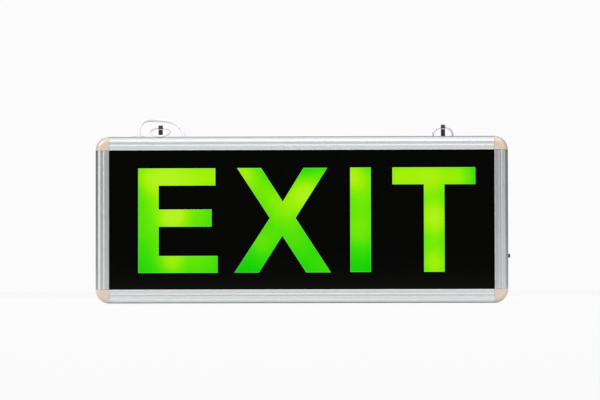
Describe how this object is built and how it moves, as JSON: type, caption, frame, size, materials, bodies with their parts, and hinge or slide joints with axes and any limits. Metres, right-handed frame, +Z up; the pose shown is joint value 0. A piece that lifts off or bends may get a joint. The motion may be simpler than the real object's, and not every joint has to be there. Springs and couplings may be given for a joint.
{
  "type": "emergency exit light",
  "caption": "Slim rectangular emergency exit light: aluminium frame with moulded corner caps, back-lit legend panel, swinging hanger rings, side test button and supply cord.",
  "frame": {"origin": "centre of the bottom rail's underside, at mid-depth, where the sign stands", "axes": "+Z up, the legend faces -Y, +X to the right as seen from the front"},
  "size_m": [0.362, 0.0686, 0.1632],
  "materials": {
    "rail_aluminium": "silver anodised extrusion",
    "cap_plastic": "cream moulded plastic",
    "legend_acrylic": "black printed acrylic",
    "diffuser": "translucent white sheet",
    "rear_plastic": "white sheet",
    "circuit_board": "solder-resist green",
    "light_lens": "tinted clear lens",
    "battery_sleeve": "shrunk sleeve",
    "spring_steel": "zinc-plated steel",
    "standoff_brass": "turned brass",
    "transformer_core": "lacquered core and taped winding",
    "capacitor_case": "moulded case",
    "can_sleeve": "sleeved can",
    "terminal_plastic": "moulded block",
    "button_plastic": "moulded black",
    "charge_lamp_lens": "green lens",
    "fault_lamp_lens": "red lens",
    "hanger_chrome": "nickel-plated steel",
    "grommet_rubber": "soft white bush",
    "cord_sheath": "white flexible sheath",
    "core_sheath": "insulated cores and inner leads"
  },
  "bodies": {
    "housing": {"top_rail": "rail_aluminium", "bottom_rail": "rail_aluminium", "left_rail": "rail_aluminium", "right_rail": "rail_aluminium", "corner_cap_bottom_left": "cap_plastic", "corner_cap_top_left": "cap_plastic", "corner_cap_top_right": "cap_plastic", "corner_cap_bottom_right": "cap_plastic", "legend_panel": "legend_acrylic", "diffuser_sheet": "diffuser", "rear_panel": "rear_plastic", "led_board_left": "circuit_board", "led_board_right": "circuit_board", "led_board_top": "circuit_board", "leds": "light_lens", "battery_pack": "battery_sleeve", "battery_clip": "spring_steel", "driver_board": "circuit_board", "board_standoffs": "standoff_brass", "board_screws": "spring_steel", "transformer": "transformer_core", "mains_capacitor": "capacitor_case", "smoothing_capacitor": "can_sleeve", "terminal_block": "terminal_plastic", "test_switch": "button_plastic", "switch_board": "circuit_board", "charge_lamp": "charge_lamp_lens", "fault_lamp": "fault_lamp_lens", "hanger_strap_left": "hanger_chrome", "hanger_strap_right": "hanger_chrome", "cord_grommet": "grommet_rubber", "cord_inside": "cord_sheath", "mains_cord": "cord_sheath", "cord_coil": "cord_sheath", "cord_cores": "core_sheath", "inner_leads": "core_sheath"},
    "ring_left": {"hanger_ring_left": "hanger_chrome"},
    "ring_right": {"hanger_ring_right": "hanger_chrome"},
    "button": {"test_button": "button_plastic", "switch_plunger": "button_plastic"}
  },
  "joints": [
    {"name": "ring_left_swing", "type": "hinge", "parent": "housing", "child": "ring_left", "pos_m": [-0.1239, 0.005, 0.154], "axis": [-1, 0, 0], "range_deg": [0, 100.5]},
    {"name": "ring_right_swing", "type": "hinge", "parent": "housing", "child": "ring_right", "pos_m": [0.1239, 0.005, 0.154], "axis": [1, 0, 0], "range_deg": [0, 100.5]},
    {"name": "test_button_press", "type": "slide", "parent": "housing", "child": "button", "axis": [-1, 0, 0], "range_m": [0, 0.001], "stiffness_N_per_m": 800, "springref_m": -0.0006}
  ]
}
